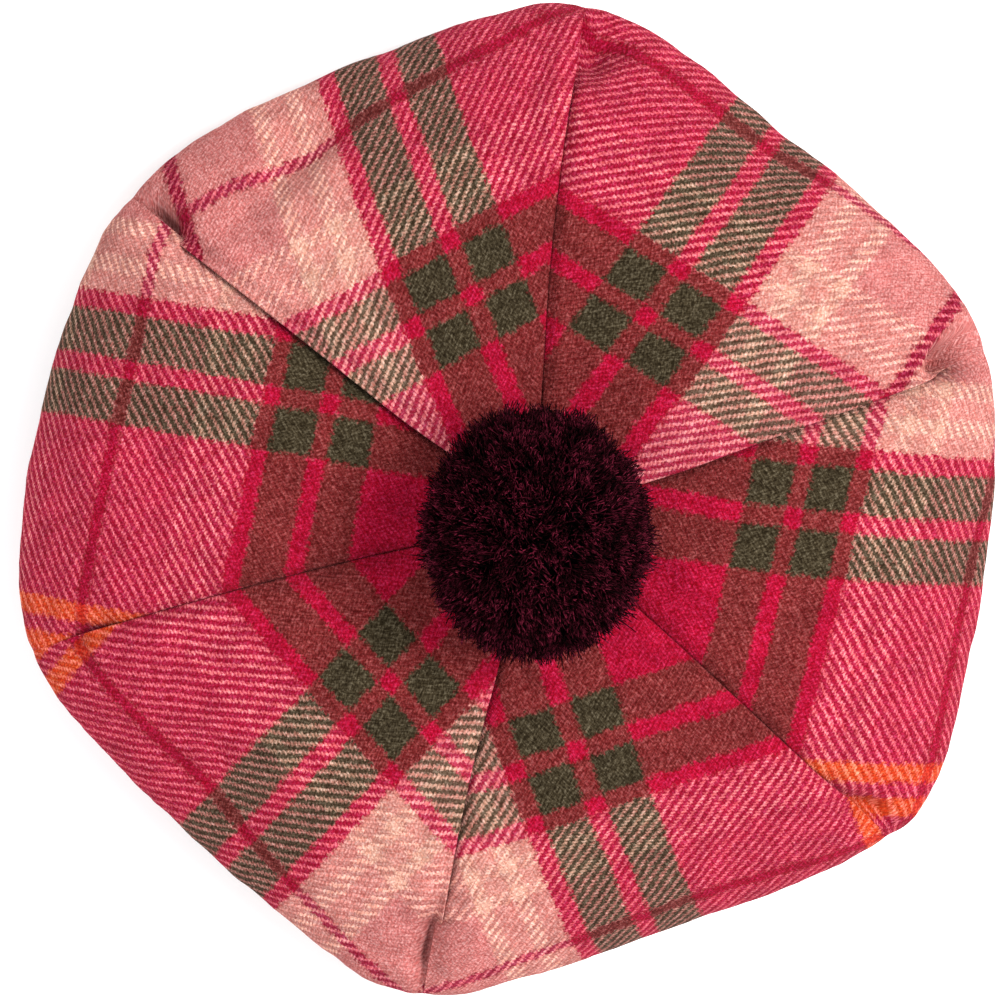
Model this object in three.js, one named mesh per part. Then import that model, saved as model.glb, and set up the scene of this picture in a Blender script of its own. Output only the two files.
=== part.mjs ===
/**
 * Tam o' shanter lying at rest on its headband.
 *
 * Six wide wedges of brushed wool cloth meet under a round wool pompom. Each wedge runs from the middle of
 * the crown out to the rim, turns under and comes back in to the headband, so each is one curved wall of
 * cloth. Units are millimetres, +Z is up, and the origin is the middle of the head opening on the surface
 * it rests on.
 */
import * as THREE from 'three';

// ---------------------------------------------------------------- cloth
const CLOTH = 2.0;
const SEAM_GAP = 0.45;

// ---------------------------------------------------------------- headband
const BAND_OUTER = 91.5;
const BAND_WALL = 3.0;
const BAND_HEIGHT = 29.0;
const BAND_EDGE = 0.8;
const BAND_SIDES = 60;

// ---------------------------------------------------------------- crown
// The seams meet off the middle of the headband, because the soft crown has slid over as it lies.
const CROWN_MIDDLE = { x: 8.3, y: -5.5 };
const MIDDLE_HOLE = 2.6;
const RIM_NOMINAL = 140.0;
const RIM_CUTS = 6;
const CORNER_OUTSET = 3.0;

// One row a seam, anticlockwise from above. turn and reach place the rim's corner from the crown's middle.
// bow is how far the seam strays sideways. lap is how far the wedge after the seam stands over the wedge
// before it, and is minus where it is the other way round. pucker is the depth of the dimple just inside the
// rim.
const SEAMS = [
  { turn: 22.0, reach: 135.8, bow: -0.8, lap: 1.3, pucker: 4.6 },
  { turn: 84.6, reach: 146.4, bow: 1.6, lap: 0.0, pucker: 3.6 },
  { turn: 140.8, reach: 146.0, bow: 0.0, lap: -1.3, pucker: 4.4 },
  { turn: 194.6, reach: 147.6, bow: -2.0, lap: 0.0, pucker: 3.2 },
  { turn: 255.6, reach: 139.4, bow: -0.8, lap: -1.2, pucker: 4.0 },
  { turn: 320.8, reach: 135.8, bow: -2.4, lap: 0.0, pucker: 4.4 },
];

// One row a wedge, from the seam in the same row to the next. bulge is how far the rim swells past a
// straight line between its corners. slump is how far the wedge's outer part sinks.
const WEDGES = [
  { name: 'crown_panel_1', bulge: 5.2, slump: 1.0 },
  { name: 'crown_panel_2', bulge: 5.6, slump: 0.0 },
  { name: 'crown_panel_3', bulge: 8.6, slump: 0.0 },
  { name: 'crown_panel_4', bulge: 4.6, slump: 1.0 },
  { name: 'crown_panel_5', bulge: 2.0, slump: 5.0 },
  { name: 'crown_panel_6', bulge: 7.0, slump: 4.0 },
];

// Cloth line of a wedge in section, from the crown's middle over the rim and back in to the headband.
const SECTION = [
  { out: 0, up: 47.0 },
  { out: 32, up: 52.8 },
  { out: 68, up: 54.0 },
  { out: 97, up: 50.4 },
  { out: 118, up: 43.8 },
  { out: 131, up: 36.2 },
  { out: 138, up: 29.6 },
  { out: 140, up: 24.0 },
  { out: 138, up: 18.6 },
  { out: 131, up: 14.8 },
  { out: 119, up: 15.2 },
  { out: 105, up: 20.6 },
  { out: 92.9, up: 26.8 },
];
const RIM_ROW = 7;
const ROWS_PER_SPAN = 2;
const COLUMNS = 10;

// Hollows pressed along every seam: a narrow one where it is stitched and a wide one where the cloth is
// drawn in.
const STITCH_HOLLOW = { depth: 0.8, width: 3.0 };
const WIDE_HOLLOW = { depth: 1.5, width: 16.0 };
const LAP_WIDTH = 9.0;
const PUCKER = { inside: 13.0, length: 12.0, width: 8.0 };

// Soft humps and dents in the wedges: place and size in plan, rise out of the cloth (minus is a dent).
const FOLDS = [
  { wedge: 1, x: -68, y: 92, turn: 62, length: 30, width: 9, rise: 2.6 },
  { wedge: 1, x: -84, y: 78, turn: 60, length: 26, width: 8, rise: -2.2 },
  { wedge: 0, x: 100, y: 74, turn: -38, length: 26, width: 9, rise: 1.8 },
  { wedge: 0, x: 72, y: 98, turn: -30, length: 28, width: 10, rise: -1.6 },
  { wedge: 2, x: -116, y: 20, turn: 84, length: 34, width: 10, rise: 1.8 },
  { wedge: 3, x: -86, y: -74, turn: 138, length: 30, width: 10, rise: -1.4 },
  { wedge: 4, x: 34, y: -112, turn: 18, length: 30, width: 9, rise: 1.4 },
  { wedge: 5, x: 112, y: -30, turn: 78, length: 32, width: 10, rise: 1.6 },
];

// ---------------------------------------------------------------- pompom
const POMPOM = { x: 7.6, y: -9.0, bottom: 50.6, centre: 76.5 };
const POMPOM_HALF = { width: 31.0, depth: 34.5, height: 26.0 };
const POMPOM_AROUND = 32;
const POMPOM_LAYERS = 16;
const POMPOM_LUMP = 0.045;

/** Matt woollen material. */
function woollen(name, color) {
  return new THREE.MeshStandardMaterial({ name, color, roughness: 0.95, metalness: 0 });
}

const middle = new THREE.Vector2(CROWN_MIDDLE.x, CROWN_MIDDLE.y);
const section = new THREE.SplineCurve(SECTION.map((row) => new THREE.Vector2(row.out, row.up)));
const sectionSpans = SECTION.length - 1;
const underEnd = SECTION[sectionSpans].out;

/** Row of a table that goes round, for any whole number. */
function around(table, index) {
  return table[((index % table.length) + table.length) % table.length];
}

/** Sharp corner of the rim at a seam, in plan. */
function rimCorner(index) {
  const seam = around(SEAMS, index);
  const turn = THREE.MathUtils.degToRad(seam.turn);
  const reach = seam.reach + CORNER_OUTSET;
  return new THREE.Vector2(middle.x + reach * Math.cos(turn), middle.y + reach * Math.sin(turn));
}

/** Control point of the rim's smooth outline, in plan. */
function rimControl(index) {
  const wedge = Math.floor(index / RIM_CUTS);
  const part = index / RIM_CUTS - wedge;
  const from = rimCorner(wedge);
  const side = rimCorner(wedge + 1).sub(from);
  const outward = new THREE.Vector2(side.y, -side.x).normalize();
  const swell = around(WEDGES, wedge).bulge * 4 * part * (1 - part);
  return from.addScaledVector(side, part).addScaledVector(outward, swell);
}

/** Point on the rim. The whole part of place is the wedge, and the rest is how far across it. */
function rimPoint(place) {
  const knot = Math.floor(place * RIM_CUTS);
  const f = place * RIM_CUTS - knot;
  const weights = [(1 - f) ** 3, 3 * f ** 3 - 6 * f ** 2 + 4, 1 + 3 * f + 3 * f ** 2 - 3 * f ** 3, f ** 3];
  const point = new THREE.Vector2(0, 0);
  for (let k = 0; k < 4; k += 1) {
    const index = (((knot - 1 + k) % (RIM_CUTS * 6)) + RIM_CUTS * 6) % (RIM_CUTS * 6);
    point.addScaledVector(rimControl(index), weights[k] / 6);
  }
  return point;
}

/** Weight of the nearer seam at a place, 1 at the seam and 0 half way across a wedge. */
function seamShare(place, seamIndex) {
  const away = Math.abs(place - seamIndex);
  return Math.max(0, 1 - 2 * away);
}

/** Smooth bell, 1 at 0. */
function bell(distance, width) {
  return Math.exp(-((distance / width) ** 2));
}

/** Point in the middle of the cloth's thickness before any hollow or fold. along runs down SECTION. */
function clothLine(along, place) {
  const span = THREE.MathUtils.clamp(along / sectionSpans, 0, 1);
  const line = section.getPoint(span);
  const rim = rimPoint(place);
  const nearSeam = Math.round(place);
  const plan = new THREE.Vector2();
  if (along <= RIM_ROW) {
    const reach = line.x / RIM_NOMINAL;
    plan.lerpVectors(middle, rim, reach);
    const spoke = rim.clone().sub(middle).normalize();
    const bow = around(SEAMS, nearSeam).bow * seamShare(place, nearSeam);
    const sway = bow * Math.sin(Math.PI * Math.min(reach, 1));
    plan.add(new THREE.Vector2(-spoke.y, spoke.x).multiplyScalar(sway));
  } else {
    const inner = rim.clone().normalize().multiplyScalar(underEnd);
    plan.lerpVectors(inner, rim, (line.x - underEnd) / (RIM_NOMINAL - underEnd));
  }
  return new THREE.Vector3(plan.x, plan.y, line.y);
}

/** Outward normal of the smooth cloth line. */
function clothNormal(along, place) {
  const step = 0.02;
  const down = clothLine(Math.min(along + step, sectionSpans), place);
  down.sub(clothLine(Math.max(along - step, 0), place));
  const across = clothLine(along, place + step).sub(clothLine(along, place - step));
  return down.cross(across).normalize();
}

/** Share of a sunken wedge's slump that a point takes. */
function slumpShare(along, across) {
  const onset = THREE.MathUtils.smoothstep(along, 1.6, 5.0);
  const release = 1 - THREE.MathUtils.smoothstep(along, 9.0, 12.0);
  return onset * release * Math.sin(Math.PI * across) ** 2;
}

/** How far the cloth stands out of its smooth line at one point of a wedge. */
function clothRise(along, wedge, across, point) {
  const nearSeam = across < 0.5 ? wedge : wedge + 1;
  const seam = around(SEAMS, nearSeam);
  const spoke = rimPoint(nearSeam).sub(middle);
  const seamAway = Math.abs(nearSeam - wedge - across) * 2 * Math.sin(Math.PI / 6);
  const reach = Math.hypot(point.x - middle.x, point.y - middle.y);
  const away = seamAway * reach;
  const onTop = 1 - THREE.MathUtils.smoothstep(along, 6.0, 8.0);
  const clearOfMiddle = THREE.MathUtils.smoothstep(along, 0.3, 1.4);
  let rise = -STITCH_HOLLOW.depth * bell(away, STITCH_HOLLOW.width) * clearOfMiddle;
  rise -= WIDE_HOLLOW.depth * bell(away, WIDE_HOLLOW.width) * clearOfMiddle;
  const after = nearSeam === wedge ? 1 : -1;
  const lapStart = THREE.MathUtils.smoothstep(along, 0.2, 1.2);
  const lapEnd = 1 - THREE.MathUtils.smoothstep(along, 3.6, 5.4);
  rise += after * seam.lap * bell(away, LAP_WIDTH) * lapStart * lapEnd;
  const inside = spoke.length() - PUCKER.inside - reach;
  rise -= seam.pucker * bell(away, PUCKER.width) * bell(inside, PUCKER.length) * onTop;
  for (const fold of FOLDS) {
    if (fold.wedge !== wedge) {
      continue;
    }
    const turn = THREE.MathUtils.degToRad(fold.turn);
    const dx = point.x - fold.x;
    const dy = point.y - fold.y;
    const lengthwise = dx * Math.cos(turn) + dy * Math.sin(turn);
    const crosswise = dy * Math.cos(turn) - dx * Math.sin(turn);
    const fade = Math.sin(Math.PI * across) ** 2;
    rise += fold.rise * bell(lengthwise, fold.length) * bell(crosswise, fold.width) * onTop * fade;
  }
  return rise;
}

/** Point on the cloth's outer face (side 1) or inner face (side -1). */
function clothPoint(along, wedge, across, side) {
  const place = wedge + across;
  const point = clothLine(along, place);
  const normal = clothNormal(along, place);
  const rise = clothRise(along, wedge, across, point);
  const sunk = around(WEDGES, wedge).slump * slumpShare(along, across);
  point.addScaledVector(normal, rise + (side * CLOTH) / 2);
  point.z -= sunk;
  return point;
}

/** Solid of one wedge: a closed grid with an outer face, an inner face and four edges. */
function wedgeGeometry(wedge) {
  const rows = sectionSpans * ROWS_PER_SPAN;
  const startRow = MIDDLE_HOLE / SECTION[1].out;
  const positions = [];
  const indices = [];
  for (const side of [1, -1]) {
    for (let row = 0; row <= rows; row += 1) {
      const along = Math.max(row / ROWS_PER_SPAN, startRow);
      const left = clothLine(along, wedge);
      const right = clothLine(along, wedge + 1);
      const inset = (0.5 * SEAM_GAP) / left.distanceTo(right);
      for (let column = 0; column <= COLUMNS; column += 1) {
        const even = (1 - Math.cos((Math.PI * column) / COLUMNS)) / 2;
        const across = inset + (1 - 2 * inset) * even;
        const point = clothPoint(along, wedge, across, side);
        positions.push(point.x, point.y, point.z);
      }
    }
  }
  const width = COLUMNS + 1;
  const face = (rows + 1) * width;
  const quad = (a, b, c, d) => indices.push(a, b, c, a, c, d);
  for (let row = 0; row < rows; row += 1) {
    for (let column = 0; column < COLUMNS; column += 1) {
      const a = row * width + column;
      quad(a, a + width, a + width + 1, a + 1);
      quad(face + a, face + a + 1, face + a + width + 1, face + a + width);
    }
    const first = row * width;
    const last = first + COLUMNS;
    quad(first, face + first, face + first + width, first + width);
    quad(last, last + width, face + last + width, face + last);
  }
  const lastRow = rows * width;
  for (let column = 0; column < COLUMNS; column += 1) {
    quad(column, column + 1, face + column + 1, face + column);
    const end = lastRow + column;
    quad(end, face + end, face + end + 1, end + 1);
  }
  const geometry = new THREE.BufferGeometry();
  geometry.setAttribute('position', new THREE.Float32BufferAttribute(positions, 3));
  geometry.setIndex(indices);
  geometry.computeVertexNormals();
  return geometry;
}

/** Upright ring of folded cloth, with its edges a little eased. */
function headbandGeometry() {
  const inner = BAND_OUTER - BAND_WALL;
  const outline = [
    [inner + BAND_EDGE, 0],
    [BAND_OUTER - BAND_EDGE, 0],
    [BAND_OUTER, BAND_EDGE],
    [BAND_OUTER, BAND_HEIGHT - BAND_EDGE],
    [BAND_OUTER - BAND_EDGE, BAND_HEIGHT],
    [inner + BAND_EDGE, BAND_HEIGHT],
    [inner, BAND_HEIGHT - BAND_EDGE],
    [inner, BAND_EDGE],
    [inner + BAND_EDGE, 0],
  ];
  const geometry = new THREE.LatheGeometry(outline.map(([r, h]) => new THREE.Vector2(r, h)), BAND_SIDES);
  geometry.rotateX(Math.PI / 2);
  return geometry;
}

/** Lumpy ball of cut yarn, flattened where it sits on the crown. */
function pompomGeometry() {
  const geometry = new THREE.SphereGeometry(1, POMPOM_AROUND, POMPOM_LAYERS);
  geometry.rotateX(Math.PI / 2);
  const points = geometry.attributes.position;
  const point = new THREE.Vector3();
  for (let index = 0; index < points.count; index += 1) {
    point.fromBufferAttribute(points, index);
    const wave = Math.sin(3.1 * point.x + 2.3 * point.y) + Math.sin(4.3 * point.y - 3.7 * point.z + 0.6);
    point.multiplyScalar(1 + 0.5 * POMPOM_LUMP * wave);
    const x = POMPOM.x + POMPOM_HALF.width * point.x;
    const y = POMPOM.y + POMPOM_HALF.depth * point.y;
    const z = POMPOM.centre + POMPOM_HALF.height * point.z;
    points.setXYZ(index, x, y, Math.max(z, POMPOM.bottom));
  }
  geometry.computeVertexNormals();
  return geometry;
}

const tam = new THREE.Group();
tam.name = 'tam_o_shanter';

WEDGES.forEach((wedge, index) => {
  const mesh = new THREE.Mesh(wedgeGeometry(index), woollen('tartan_wool', 0xa8283c));
  mesh.name = wedge.name;
  tam.add(mesh);
});

const headband = new THREE.Mesh(headbandGeometry(), woollen('headband_wool', 0x5c3b33));
headband.name = 'headband';
tam.add(headband);

const pompom = new THREE.Mesh(pompomGeometry(), woollen('pompom_yarn', 0x27090d));
pompom.name = 'pompom';
tam.add(pompom);

export default tam;
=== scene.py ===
# Looks of a tam o' shanter: a crown of six wedges of brushed tartan wool, the headband that it rests on and a
# round pompom of dark wool yarn. Lengths in the classes are millimetres, and a mesh is scaled to metres as it
# is made. The origin is the middle of the head opening, on the surface, with +Z up.

import logging
import math
from dataclasses import dataclass, field
from enum import Enum
from functools import cached_property

import bpy
import numpy as np
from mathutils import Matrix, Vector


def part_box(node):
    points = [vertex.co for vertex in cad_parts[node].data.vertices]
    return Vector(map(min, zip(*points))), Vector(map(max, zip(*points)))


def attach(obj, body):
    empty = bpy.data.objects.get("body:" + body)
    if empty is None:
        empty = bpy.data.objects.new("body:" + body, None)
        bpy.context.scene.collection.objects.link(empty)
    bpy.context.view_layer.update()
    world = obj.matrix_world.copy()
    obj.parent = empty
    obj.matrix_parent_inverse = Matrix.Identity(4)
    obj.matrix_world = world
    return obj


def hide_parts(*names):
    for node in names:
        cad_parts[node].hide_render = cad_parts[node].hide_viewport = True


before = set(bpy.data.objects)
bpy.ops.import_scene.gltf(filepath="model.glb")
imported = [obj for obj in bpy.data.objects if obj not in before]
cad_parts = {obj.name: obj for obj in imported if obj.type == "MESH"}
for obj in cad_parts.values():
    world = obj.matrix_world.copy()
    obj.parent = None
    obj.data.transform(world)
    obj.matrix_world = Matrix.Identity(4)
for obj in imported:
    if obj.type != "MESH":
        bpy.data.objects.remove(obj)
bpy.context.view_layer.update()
log = logging.getLogger("tam_o_shanter")

MM = 0.001


# ---------------------------------------------------------------- small helpers
def smoothstep(value: np.ndarray, low: float, high: float) -> np.ndarray:
    """Eases from 0 at low to 1 at high."""
    share = np.clip((value - low) / (high - low), 0.0, 1.0)
    return share * share * (3.0 - 2.0 * share)


def bell(distance: np.ndarray, width: float) -> np.ndarray:
    """Smooth bell, 1 where the distance is 0."""
    return np.exp(-((distance / width) ** 2))


def ripple(x: np.ndarray, y: np.ndarray, length: float, seed: int) -> np.ndarray:
    """Even, aimless unevenness of soft cloth, as a sum of waves that run every way.

    Args:
        x: First coordinate of each point, in mm.
        y: Second coordinate of each point, in mm.
        length: Length of the waves, in mm.
        seed: Picks the waves' directions and starts.

    Returns:
        A height for each point, mostly between -1 and 1.
    """
    draw = np.random.default_rng(seed)
    waves = 14
    height = np.zeros(np.broadcast(x, y).shape)
    for _ in range(waves):
        turn = draw.uniform(0.0, 2.0 * math.pi)
        pitch = 2.0 * math.pi / (length * draw.uniform(0.75, 1.4))
        start = draw.uniform(0.0, 2.0 * math.pi)
        height = height + np.sin(pitch * (x * math.cos(turn) + y * math.sin(turn)) + start)
    return height / math.sqrt(waves)


def linear(code: str) -> tuple[float, float, float, float]:
    """Turns an sRGB hex value into a linear colour with full alpha.

    Args:
        code: The colour, such as "a8283c".

    Returns:
        Red, green, blue and alpha as a shader's socket takes them.
    """
    parts = [int(code[start:start + 2], 16) / 255.0 for start in (0, 2, 4)]
    curve = [part / 12.92 if part <= 0.04045 else ((part + 0.055) / 1.055) ** 2.4 for part in parts]
    return (*curve, 1.0)


def add(tree: bpy.types.NodeTree, kind: str, inputs: dict | None = None, out: int | str = 0,
        stops: list[tuple[float, str]] | None = None, **settings: object) -> bpy.types.NodeSocket | None:
    """Adds a shader node, with its settings and its links.

    Args:
        tree: The material's node tree.
        kind: The node's type, without the leading ShaderNode.
        inputs: What each input takes: a socket to link, or a value.
        out: Which output to hand back.
        stops: Place and hex colour of each stop, for a colour ramp that blends between them.
        **settings: Properties to set on the node.

    Returns:
        The chosen output socket, or None from a node that has none.
    """
    node = tree.nodes.new("ShaderNode" + kind)
    for name, value in settings.items():
        setattr(node, name, value)
    if stops:
        ramp = node.color_ramp
        for _ in stops[2:]:
            ramp.elements.new(1.0)
        for element, (place, code) in zip(ramp.elements, stops):
            element.position = place
            element.color = linear(code)
    for name, value in (inputs or {}).items():
        if isinstance(value, bpy.types.NodeSocket):
            tree.links.new(value, node.inputs[name])
        else:
            node.inputs[name].default_value = value
    return node.outputs[out] if node.outputs else None


def new_tree(name: str) -> tuple[bpy.types.Material, bpy.types.NodeTree]:
    """Makes an empty node material.

    Args:
        name: The material's name.

    Returns:
        The material and its node tree.
    """
    material = bpy.data.materials.new(name)
    material.use_nodes = True
    material.node_tree.nodes.clear()
    return material, material.node_tree


def make_piece(name: str, points: np.ndarray, faces: np.ndarray, material: bpy.types.Material,
               values: dict[str, np.ndarray] | None = None) -> bpy.types.Object:
    """Makes a smooth-shaded mesh object.

    Args:
        name: The piece's name.
        points: One row a vertex, in mm.
        faces: One row a face, of vertex numbers.
        material: What the piece is made of.
        values: Named numbers or vectors for each vertex, which the material reads.

    Returns:
        The new object, linked to the scene.
    """
    mesh = bpy.data.meshes.new(name)
    mesh.from_pydata((points * MM).tolist(), [], faces.tolist())
    for key, value in (values or {}).items():
        kind = "FLOAT_VECTOR" if value.ndim == 2 else "FLOAT"
        attribute = mesh.attributes.new(key, kind, "POINT")
        attribute.data.foreach_set("vector" if value.ndim == 2 else "value", value.astype(np.float32).ravel())
    mesh.shade_smooth()
    mesh.materials.append(material)
    piece = bpy.data.objects.new(name, mesh)
    bpy.context.scene.collection.objects.link(piece)
    return piece


def shell_faces(rows: int, columns: int, around: bool = False) -> np.ndarray:
    """Faces of a thin closed shell made of two equal grids, the outer one first.

    Args:
        rows: Rows of points in each grid.
        columns: Points in each row.
        around: Whether the last column joins the first one.

    Returns:
        One row of four vertex numbers a face.
    """
    here = np.arange(columns if around else columns - 1)
    beside = (here + 1) % columns
    row = np.arange(rows - 1)[:, None] * columns
    inner = rows * columns
    outer_grid = np.stack([row + here, row + columns + here, row + columns + beside, row + beside], axis=-1)
    inner_grid = outer_grid[..., ::-1] + inner
    first = np.stack([beside, here, here + inner, beside + inner][::-1], axis=-1)[:, ::-1]
    last = (rows - 1) * columns
    end = np.stack([here, beside, beside + inner, here + inner], axis=-1)[:, ::-1] + last
    parts = [outer_grid.reshape(-1, 4), inner_grid.reshape(-1, 4), first, end]
    if not around:
        edge = np.arange(rows - 1) * columns
        parts.append(np.stack([edge, edge + inner, edge + inner + columns, edge + columns], axis=-1))
        edge = edge + columns - 1
        parts.append(np.stack([edge, edge + columns, edge + inner + columns, edge + inner], axis=-1))
    return np.concatenate(parts)


# ---------------------------------------------------------------- finishes
class Yarn(Enum):
    """Dyed wool yarns of the cloth, by their sRGB colour where the cloth is all of that yarn."""

    RED = "8c0a26"
    CRIMSON = "760720"
    GREEN = "312a1d"
    ORANGE = "bc3010"
    PINK = "ae7168"
    CREAM = "ba8979"
    SALMON = "a86360"


@dataclass(frozen=True)
class Stripe:
    """One stripe of the sett: its yarn and how many threads it has."""

    yarn: Yarn
    threads: float


# Half of the sett, from the middle of the red between the oranges to the middle of the crimson line in the
# pale. The cloth runs through it to and fro, in the warp and in the weft alike.
HALF_SETT = (
    Stripe(Yarn.RED, 2.5),
    Stripe(Yarn.ORANGE, 6),
    Stripe(Yarn.RED, 56),
    Stripe(Yarn.GREEN, 14),
    Stripe(Yarn.RED, 6),
    Stripe(Yarn.GREEN, 14),
    Stripe(Yarn.RED, 6),
    Stripe(Yarn.PINK, 6),
    Stripe(Yarn.CREAM, 5),
    Stripe(Yarn.PINK, 7),
    Stripe(Yarn.CREAM, 5),
    Stripe(Yarn.SALMON, 26.4),
    Stripe(Yarn.CRIMSON, 2.6),
)
# Threads from the start of the half sett to the middle of the thin red between the two greens.
CROSSING = 2.5 + 6 + 56 + 14 + 3
# From that middle to the first of the pale warp, in mm.
PALE_START = 18.6


@dataclass(frozen=True)
class BrushedTartan:
    """Lambswool, woven as a two-and-two twill tartan, then milled and brushed.

    The twill gives slanting lines where a pale yarn crosses a dark one. Brushing lays a nap over it, so the
    edges of the stripes are ragged, plain patches look speckled, and nothing on it shines. Lengths are in mm.
    A single fibre is too fine to show, so a streak or a fleck is as coarse as a small bunch of them.
    """

    warp_spacing: float = 0.81
    weft_spacing: float = 0.90
    # How far threads waver, stripes fray and single yarns wobble, and over what length each does so.
    waver: float = 0.8
    waver_length: float = 14.0
    ragged: float = 2.4
    ragged_length: float = 1.1
    wobble: float = 0.75
    wobble_length: float = 1.0
    # Threads over which one stripe blends into the next, on each side of the edge.
    soft_edge: float = 0.5
    # Streaks of brushed fibres: most lie along the twill, and shorter ones lie across it.
    twill_turn: float = math.radians(-48.0)
    cross_turn: float = 1.3
    cross_share: float = 0.7
    fibre_length: float = 2.4
    fibre_width: float = 0.55
    fleck: float = 0.8
    # The flecks' usual range, and how much they lighten or darken.
    fleck_low: float = 1.2
    fleck_high: float = 1.8
    grain: float = 0.3
    # Share of felted fibres in what shows, in the grooves and on the crest of a float.
    nap: float = 0.97
    crest_nap: float = 0.62
    # Share of red fibres in the nap where red crosses green, and how unlike yarns are for the twill to show.
    red_step: float = 0.015
    red_share: float = 0.4
    like: float = 0.035
    unlike: float = 0.08
    # Painted shade in a dark yarn's groove and at a float's ends; painted highlight on a pale yarn's top and
    # crest.
    groove_step: float = 0.04
    groove_light: float = 0.7
    proud_light: float = 1.05
    dive_light: float = 0.82
    crest_light: float = 1.3
    # Worn and fluffier patches.
    patch_size: float = 7.0
    patch_depth: float = 0.16
    relief: float = 0.2

    def sett_stops(self) -> list[tuple[float, str]]:
        """Works out the ends of the stripes along the half sett.

        Returns:
            Place, from 0 to 1, and colour of both ends of each stripe, with a soft edge between stripes.
        """
        total = sum(stripe.threads for stripe in HALF_SETT)
        stops = []
        place = 0.0
        for stripe in HALF_SETT:
            stops.append(((place + self.soft_edge) / total, stripe.yarn.value))
            place += stripe.threads
            stops.append(((place - self.soft_edge) / total, stripe.yarn.value))
        return stops

    def stripes(self, tree: bpy.types.NodeTree, place: bpy.types.NodeSocket,
                spacing: float) -> bpy.types.NodeSocket:
        """Picks the yarn at a place across the sett.

        Args:
            tree: The material's node tree.
            place: Distance from the crossing of the thin reds, in mm.
            spacing: Distance between threads, in mm.

        Returns:
            The yarn's colour.
        """
        total = sum(stripe.threads for stripe in HALF_SETT)
        thread = add(tree, "Math", {0: place, 1: 1.0 / spacing, 2: CROSSING}, operation="MULTIPLY_ADD")
        turned = add(tree, "Math", {0: thread, 1: total}, operation="PINGPONG")
        share = add(tree, "Math", {0: turned, 1: 1.0 / total}, operation="MULTIPLY")
        return add(tree, "ValToRGB", {"Fac": share}, stops=self.sett_stops())

    def shaken(self, tree: bpy.types.NodeTree, place: bpy.types.NodeSocket, weave: bpy.types.NodeSocket,
               shake: float, length: float, detail: float) -> bpy.types.NodeSocket:
        """Shifts a place on the cloth a little, to any side.

        Args:
            tree: The material's node tree.
            place: The place to shift.
            weave: Place on the even weave, which the unevenness follows.
            shake: How far it may shift, in mm.
            length: Length over which the shift changes, in mm.
            detail: How many finer sizes of unevenness it has.

        Returns:
            The shifted place.
        """
        shift = add(tree, "TexNoise", {"Vector": weave, "Scale": 1.0 / length, "Detail": detail}, out="Color")
        shift = add(tree, "VectorMath", {0: shift, 1: (0.5, 0.5, 0.5)}, operation="SUBTRACT")
        shift = add(tree, "VectorMath", {0: shift, "Scale": 2.0 * shake}, operation="SCALE")
        return add(tree, "VectorMath", {0: place, 1: shift}, operation="ADD")

    def twill(self, tree: bpy.types.NodeTree,
              laid: bpy.types.NodeSocket) -> tuple[bpy.types.NodeSocket, bpy.types.NodeSocket]:
        """Weaves the two-and-two twill: each warp thread goes over two wefts and under two, stepping by one.

        Args:
            tree: The material's node tree.
            laid: Place on the cloth, in mm across the warp and across the rows.

        Returns:
            Whether the warp is on top, and how high the top yarn arches, from 0 where it dives to 1.
        """
        spacing = (self.warp_spacing, self.weft_spacing, 1.0)
        laid = add(tree, "VectorMath", {0: laid, 1: spacing}, operation="DIVIDE")
        x = add(tree, "SeparateXYZ", {0: laid}, out="X")
        y = add(tree, "SeparateXYZ", {0: laid}, out="Y")
        x_cell = add(tree, "Math", {0: x}, operation="FLOOR")
        y_cell = add(tree, "Math", {0: y}, operation="FLOOR")
        x_in = add(tree, "Math", {0: x}, operation="FRACT")
        y_in = add(tree, "Math", {0: y}, operation="FRACT")
        step = add(tree, "Math", {0: x_cell, 1: y_cell}, operation="ADD")
        step = add(tree, "Math", {0: step, 1: 4.0}, operation="FLOORED_MODULO")
        over = add(tree, "Math", {0: step, 1: 1.5}, operation="LESS_THAN")
        floats = []
        for run, beside, start in ((y_in, x_in, 0.0), (x_in, y_in, -math.pi)):
            arch = add(tree, "Math", {0: step, 1: run}, operation="ADD")
            arch = add(tree, "Math", {0: arch, 1: math.pi / 2.0, 2: start}, operation="MULTIPLY_ADD")
            arch = add(tree, "Math", {0: arch}, operation="SINE")
            side = add(tree, "Math", {0: beside, 1: math.pi}, operation="MULTIPLY")
            side = add(tree, "Math", {0: side}, operation="SINE")
            floats.append(add(tree, "Math", {0: arch, 1: side}, operation="MULTIPLY"))
        warp_float, weft_float = floats
        return over, add(tree, "Mix", {"Factor": over, 2: weft_float, 3: warp_float}, data_type="FLOAT")

    def flecks(self, tree: bpy.types.NodeTree, weave: bpy.types.NodeSocket) -> bpy.types.NodeSocket:
        """Lays the brushed fibres: streaks along and across the twill, with fluff between them.

        Args:
            tree: The material's node tree.
            weave: Place on the even weave.

        Returns:
            A number about 1.5, higher in the dark gaps between fibres.
        """
        fluff = add(tree, "TexNoise", {"Vector": weave, "Scale": 1.0 / self.fleck, "Detail": 3.0,
                                       "Roughness": 0.7})
        lies = ((self.twill_turn, self.fibre_length),
                (self.twill_turn + self.cross_turn, self.fibre_length * self.cross_share))
        for turn, length in lies:
            lie = add(tree, "Mapping", {"Vector": weave, "Rotation": (0.0, 0.0, -turn)})
            lie = add(tree, "VectorMath", {0: lie, 1: (length, self.fibre_width, 1.0)}, operation="DIVIDE")
            streak = add(tree, "TexNoise", {"Vector": lie, "Scale": 1.0, "Detail": 2.0, "Distortion": 0.4})
            fluff = add(tree, "Math", {0: fluff, 1: streak}, operation="ADD")
        return fluff

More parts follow.
